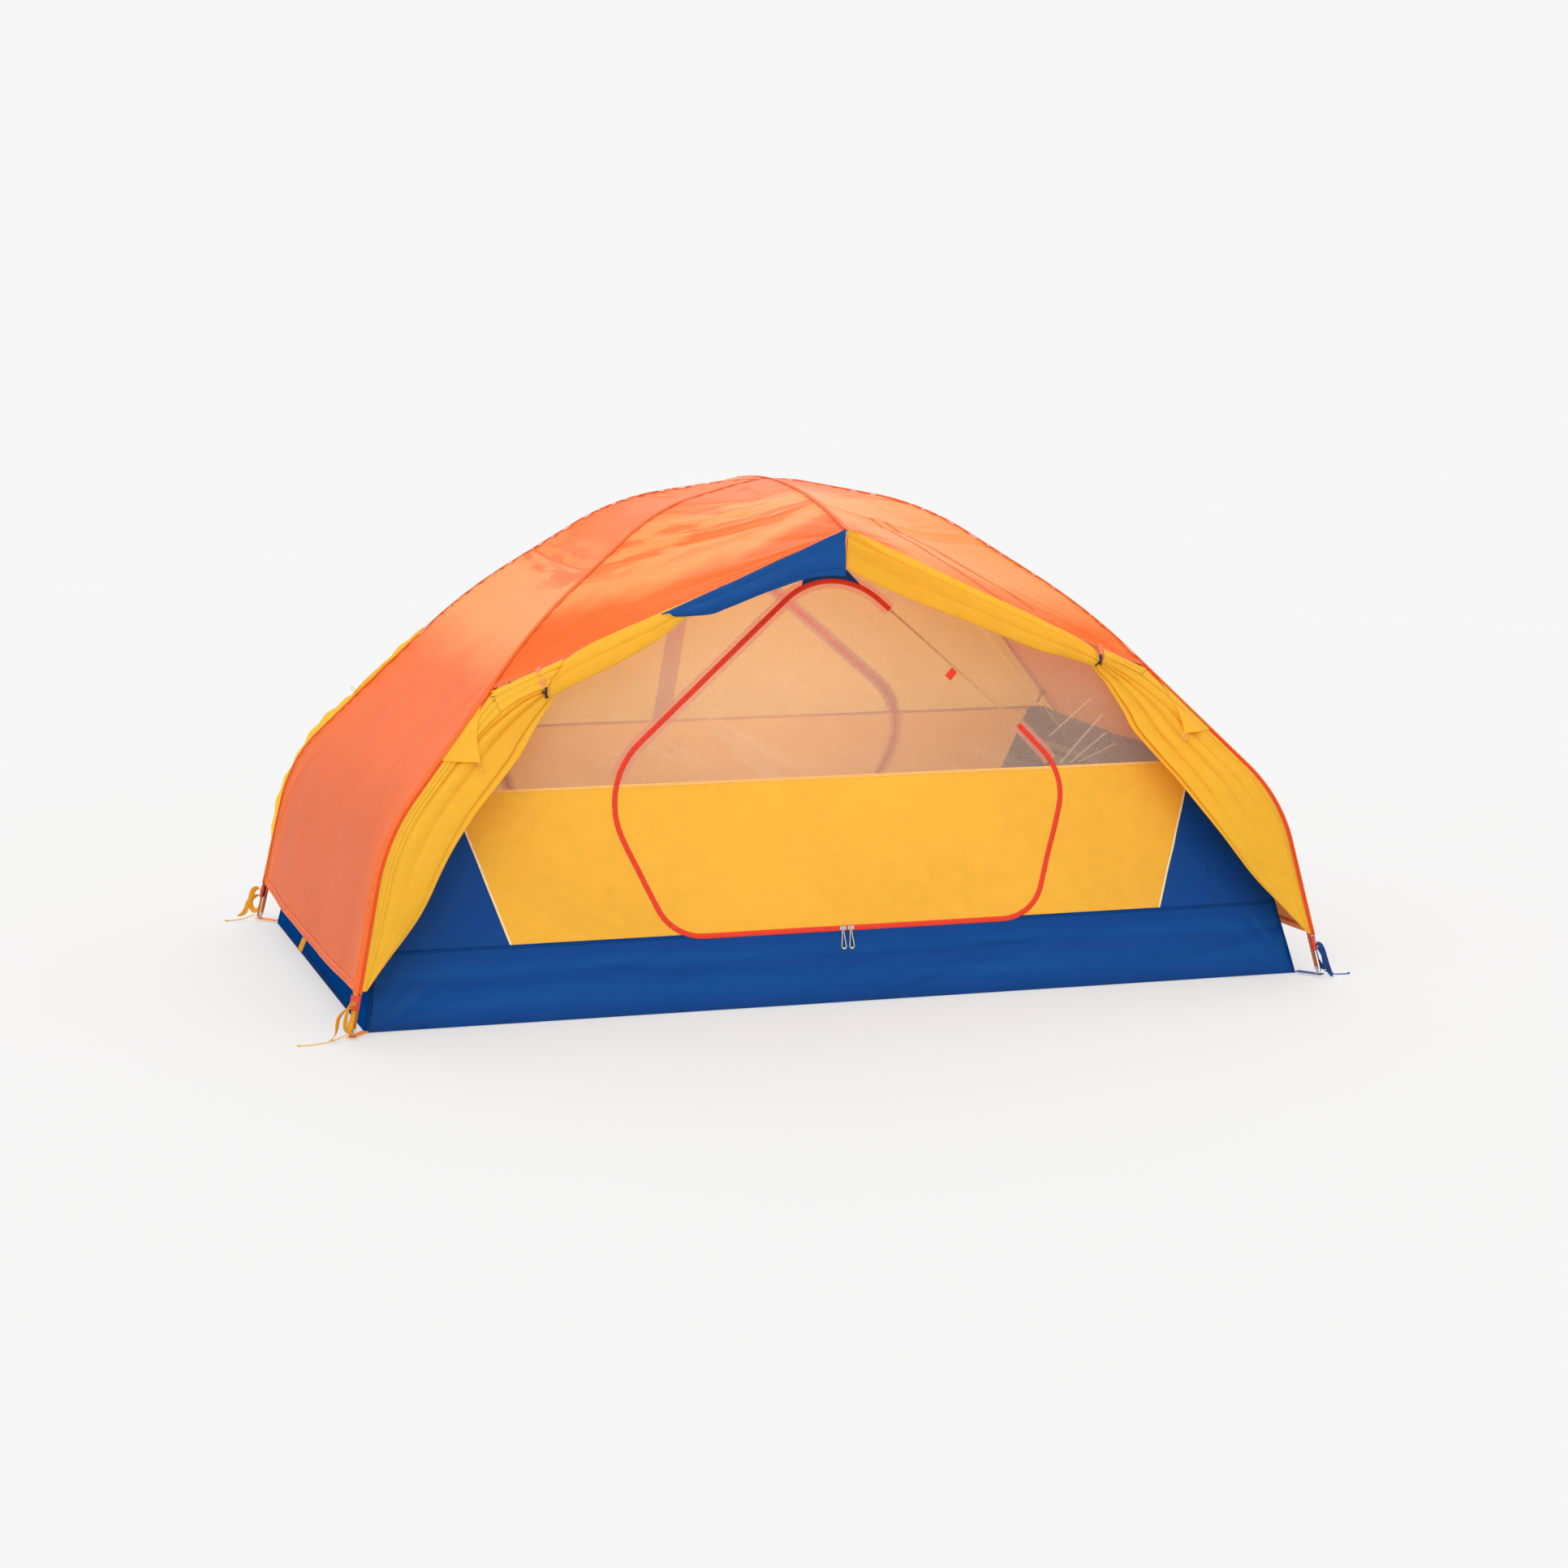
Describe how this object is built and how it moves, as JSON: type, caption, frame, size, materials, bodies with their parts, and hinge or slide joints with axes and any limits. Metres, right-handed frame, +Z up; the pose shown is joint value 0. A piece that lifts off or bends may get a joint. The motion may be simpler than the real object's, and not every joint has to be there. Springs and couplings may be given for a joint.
{
  "type": "freestanding dome tent",
  "caption": "Freestanding dome tent with two crossing poles, a brow pole, a bathtub-floor inner tent with zipped mesh doors, and a rainfly with its front vestibule tied back.",
  "frame": {"origin": "on the ground at the middle of the floor, under the pole crossing", "axes": "+X along the length of the tent, -Y towards the open front, +Z up"},
  "size_m": [2.6413, 2.1223, 1.215],
  "materials": {
    "pole": "satin anodised",
    "bare_metal": "satin",
    "plastic_black": "moulded",
    "plastic_red": "moulded",
    "fly_orange": "coated nylon, slight sheen",
    "canvas_yellow": "coated nylon, slight sheen",
    "floor_blue": "coated polyester, slight sheen",
    "mesh_beige": "fine insect mesh",
    "zip_red": "coil zip on tape",
    "webbing_yellow": "woven webbing",
    "cord_cream": "braided cord",
    "cord_yellow": "braided cord",
    "cord_blue": "braided cord",
    "grommet_brass": "polished"
  },
  "bodies": {
    "tent": {"brow_pole": "pole", "canopy_clips": "plastic_black", "corner_straps": "webbing_yellow", "corner_wedges": "floor_blue", "crossing_hub": "plastic_black", "door_hinge_tapes": "mesh_beige", "door_zips": "zip_red", "floor_sheet": "floor_blue", "fly_end_left": "fly_orange", "fly_end_right": "fly_orange", "fly_roof_front_left": "fly_orange", "fly_roof_front_right": "fly_orange", "fly_roof_rear_left": "fly_orange", "fly_roof_rear_right": "fly_orange", "grommet_tabs": "webbing_yellow", "grommets": "grommet_brass", "guy_loops": "webbing_yellow", "lower_panels": "canvas_yellow", "mesh_ceiling": "mesh_beige", "mesh_end_left": "mesh_beige", "mesh_end_right": "mesh_beige", "mesh_walls": "mesh_beige", "peak_flap": "floor_blue", "pole_a_sections": "pole", "pole_b_sections": "pole", "pole_ferrules": "bare_metal", "pole_tips": "bare_metal", "roll_left": "canvas_yellow", "roll_right": "canvas_yellow", "stake_cord_1": "cord_yellow", "stake_cord_2": "cord_blue", "stake_cord_3": "cord_yellow", "stake_cord_4": "cord_blue", "toggle_loops": "plastic_black", "top_patches": "floor_blue", "tub_walls": "floor_blue", "vestibule_left": "canvas_yellow", "vestibule_right": "canvas_yellow", "vestibule_zip": "zip_red"},
    "front_door": {"door_panel_front": "canvas_yellow", "door_mesh_front": "mesh_beige", "tie_tab_front": "zip_red"},
    "rear_door": {"door_panel_rear": "canvas_yellow", "door_mesh_rear": "mesh_beige", "tie_tab_rear": "zip_red"},
    "front_slider_left": {"slider_front_left": "bare_metal", "pull_front_left": "cord_cream"},
    "front_slider_right": {"slider_front_right": "bare_metal", "pull_front_right": "cord_cream"},
    "rear_slider_left": {"slider_rear_left": "bare_metal", "pull_rear_left": "cord_cream"},
    "rear_slider_right": {"slider_rear_right": "bare_metal", "pull_rear_right": "cord_cream"},
    "vestibule_slider": {"vestibule_slider": "bare_metal"},
    "toggle_left": {"toggle_left": "plastic_black"},
    "toggle_right": {"toggle_right": "plastic_black"},
    "corner_buckle_1": {"corner_buckle_1": "plastic_red"},
    "corner_buckle_2": {"corner_buckle_2": "plastic_red"},
    "corner_buckle_3": {"corner_buckle_3": "plastic_red"},
    "corner_buckle_4": {"corner_buckle_4": "plastic_red"}
  },
  "joints": [
    {"name": "front_door_swing", "type": "hinge", "parent": "tent", "child": "front_door", "pos_m": [0.487, -0.53566, 0.63125], "axis": [-0.725, 0.1746, 0.6663], "range_deg": [0, 45]},
    {"name": "rear_door_swing", "type": "hinge", "parent": "tent", "child": "rear_door", "pos_m": [-0.487, 0.53566, 0.63125], "axis": [0.725, -0.1746, 0.6663], "range_deg": [0, 15]},
    {"name": "front_slider_left_run", "type": "slide", "parent": "tent", "child": "front_slider_left", "axis": [-1, 0, 0], "range_m": [0, 0.33]},
    {"name": "front_slider_right_run", "type": "slide", "parent": "tent", "child": "front_slider_right", "axis": [1, 0, 0], "range_m": [0, 0.375]},
    {"name": "rear_slider_left_run", "type": "slide", "parent": "tent", "child": "rear_slider_left", "axis": [1, 0, 0], "range_m": [0, 0.33]},
    {"name": "rear_slider_right_run", "type": "slide", "parent": "tent", "child": "rear_slider_right", "axis": [-1, 0, 0], "range_m": [0, 0.375]},
    {"name": "vestibule_slider_run", "type": "slide", "parent": "tent", "child": "vestibule_slider", "axis": [0, -0.5267, 0.8501], "range_m": [0, 1]},
    {"name": "toggle_left_turn", "type": "hinge", "parent": "tent", "child": "toggle_left", "pos_m": [-0.70729, -0.56753, 0.75594], "axis": [0, 1, 0], "range_deg": [-75, 75]},
    {"name": "toggle_right_turn", "type": "hinge", "parent": "tent", "child": "toggle_right", "pos_m": [0.68636, -0.57312, 0.78926], "axis": [0, 1, 0], "range_deg": [-75, 75]},
    {"name": "corner_buckle_1_adjust", "type": "slide", "parent": "tent", "child": "corner_buckle_1", "axis": [-0.2109, -0.1308, -0.9687], "range_m": [0, 0.03]},
    {"name": "corner_buckle_2_adjust", "type": "slide", "parent": "tent", "child": "corner_buckle_2", "axis": [0.2109, -0.1308, -0.9687], "range_m": [0, 0.03]},
    {"name": "corner_buckle_3_adjust", "type": "slide", "parent": "tent", "child": "corner_buckle_3", "axis": [-0.2109, 0.1308, -0.9687], "range_m": [0, 0.03]},
    {"name": "corner_buckle_4_adjust", "type": "slide", "parent": "tent", "child": "corner_buckle_4", "axis": [0.2109, 0.1308, -0.9687], "range_m": [0, 0.03]}
  ]
}
